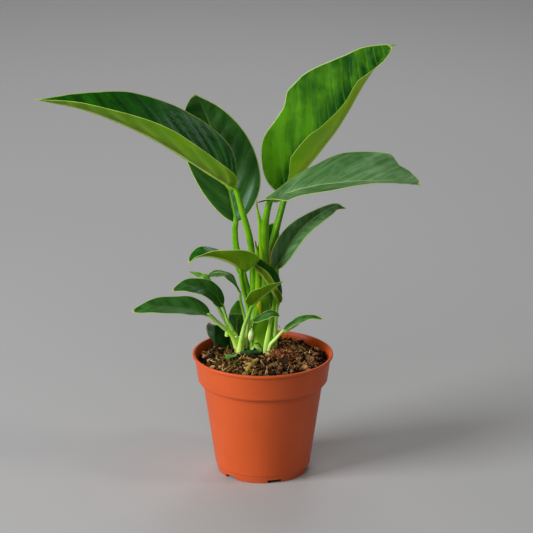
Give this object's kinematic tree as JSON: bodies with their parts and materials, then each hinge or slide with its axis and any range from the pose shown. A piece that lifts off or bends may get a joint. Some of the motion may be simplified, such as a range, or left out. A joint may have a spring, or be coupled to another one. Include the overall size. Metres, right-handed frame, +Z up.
{
  "type": "potted philodendron",
  "caption": "Young upright philodendron with long-stalked folded leaves, growing in a round tapered plastic nursery pot filled with soil.",
  "frame": {"origin": "centre of the pot's underside, on the surface that it stands on", "axes": "+Z up along the pot's axis, -Y towards the front of the plant, the long arching leaf reaches to -X"},
  "size_m": [0.319, 0.1256, 0.376],
  "materials": {
    "terracotta_plastic": "matt injection-moulded terracotta-coloured plastic",
    "soil": "coarse damp potting mix of peat, coir and bark",
    "leaf": "glossy dark green upper side, matt yellow-green underside, thin pale margin",
    "stalk": "smooth fresh green stalk, paler at the base",
    "bark": "rough bark and wood chips"
  },
  "bodies": {
    "root": {"bark_chip_1": "bark", "bark_chip_2": "bark", "bark_chip_3": "bark", "bark_chip_4": "bark", "bark_chip_5": "bark", "blade_back_left": "leaf", "blade_curled": "leaf", "blade_front_arching": "leaf", "blade_front_small": "leaf", "blade_hidden_back": "leaf", "blade_level_right": "leaf", "blade_long_left": "leaf", "blade_low_lower": "leaf", "blade_low_right": "leaf", "blade_low_upper": "leaf", "blade_mid_right": "leaf", "blade_small_arching": "leaf", "blade_tiny_right": "leaf", "blade_top_right": "leaf", "blade_young": "leaf", "bud_scale": "stalk", "crown": "stalk", "leaf_stub": "stalk", "old_leaf_back": "leaf", "old_leaf_left": "leaf", "petiole_back_left": "stalk", "petiole_curled": "stalk", "petiole_front_arching": "stalk", "petiole_front_small": "stalk", "petiole_hidden_back": "stalk", "petiole_level_right": "stalk", "petiole_long_left": "stalk", "petiole_low_lower": "stalk", "petiole_low_right": "stalk", "petiole_low_upper": "stalk", "petiole_mid_right": "stalk", "petiole_small_arching": "stalk", "petiole_tiny_right": "stalk", "petiole_top_right": "stalk", "petiole_young": "stalk", "pot": "terracotta_plastic", "sheath_low_right": "stalk", "sheath_tip_centre": "stalk", "sheath_tip_left": "stalk", "shoot_crown": "stalk", "shoot_stem": "stalk", "soil": "soil", "soil_leaflet": "leaf", "splinter": "bark", "twig": "bark"}
  },
  "joints": []
}
